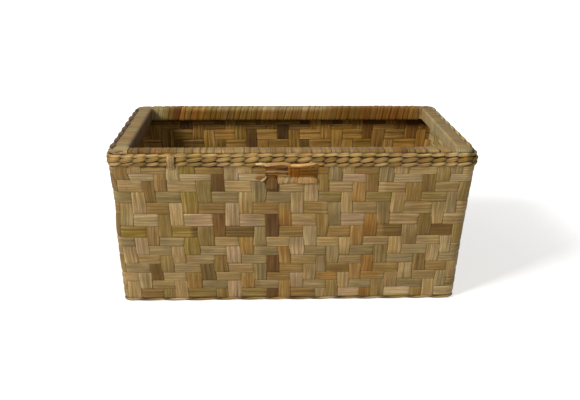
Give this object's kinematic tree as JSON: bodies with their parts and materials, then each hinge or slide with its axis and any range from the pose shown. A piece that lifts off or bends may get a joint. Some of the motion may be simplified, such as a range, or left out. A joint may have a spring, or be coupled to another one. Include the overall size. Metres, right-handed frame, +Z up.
{
  "type": "cattail storage basket",
  "caption": "Open rectangular storage basket of twill-woven cattail leaf with a wrapped rim, a twined border and foot, and a hand slot in the front.",
  "frame": {"origin": "on the ground under the middle of the basket", "axes": "+X along the basket's length to its right end, +Y to the back, the hand slot faces -Y, +Z up"},
  "size_m": [0.4058, 0.2558, 0.178],
  "materials": {
    "leaf_stakes": "dried cattail leaf, matte, olive to tan",
    "leaf_hoops": "dried cattail leaf, matte with a faint waxy sheen, straw to golden brown",
    "rim_leaf": "dried cattail leaf wrapped over the rim, satin",
    "twined_leaf": "twisted cattail leaf, matte",
    "batten_wood": "plain sawn softwood, hidden under the wrapping"
  },
  "bodies": {
    "root": {"floor_and_stakes": "leaf_stakes", "hoop_01": "leaf_hoops", "hoop_02": "leaf_hoops", "hoop_03": "leaf_hoops", "hoop_04": "leaf_hoops", "hoop_05": "leaf_hoops", "hoop_06": "leaf_hoops", "hoop_07": "leaf_hoops", "hoop_08": "leaf_hoops", "hoop_09": "leaf_hoops", "hoop_10": "leaf_hoops", "hoop_11": "leaf_hoops", "hoop_12": "leaf_hoops", "hoop_13": "leaf_hoops", "hoop_14": "leaf_hoops", "rim_batten_front": "batten_wood", "rim_batten_right": "batten_wood", "rim_batten_back": "batten_wood", "rim_batten_left": "batten_wood", "rim_wrap_front": "rim_leaf", "rim_wrap_right": "rim_leaf", "rim_wrap_back": "rim_leaf", "rim_wrap_left": "rim_leaf", "rim_corner_front_left": "rim_leaf", "rim_corner_front_right": "rim_leaf", "rim_corner_back_right": "rim_leaf", "rim_corner_back_left": "rim_leaf", "border_twine_upper": "twined_leaf", "border_twine_lower": "twined_leaf", "base_twine": "twined_leaf", "slot_binding": "twined_leaf"}
  },
  "joints": []
}
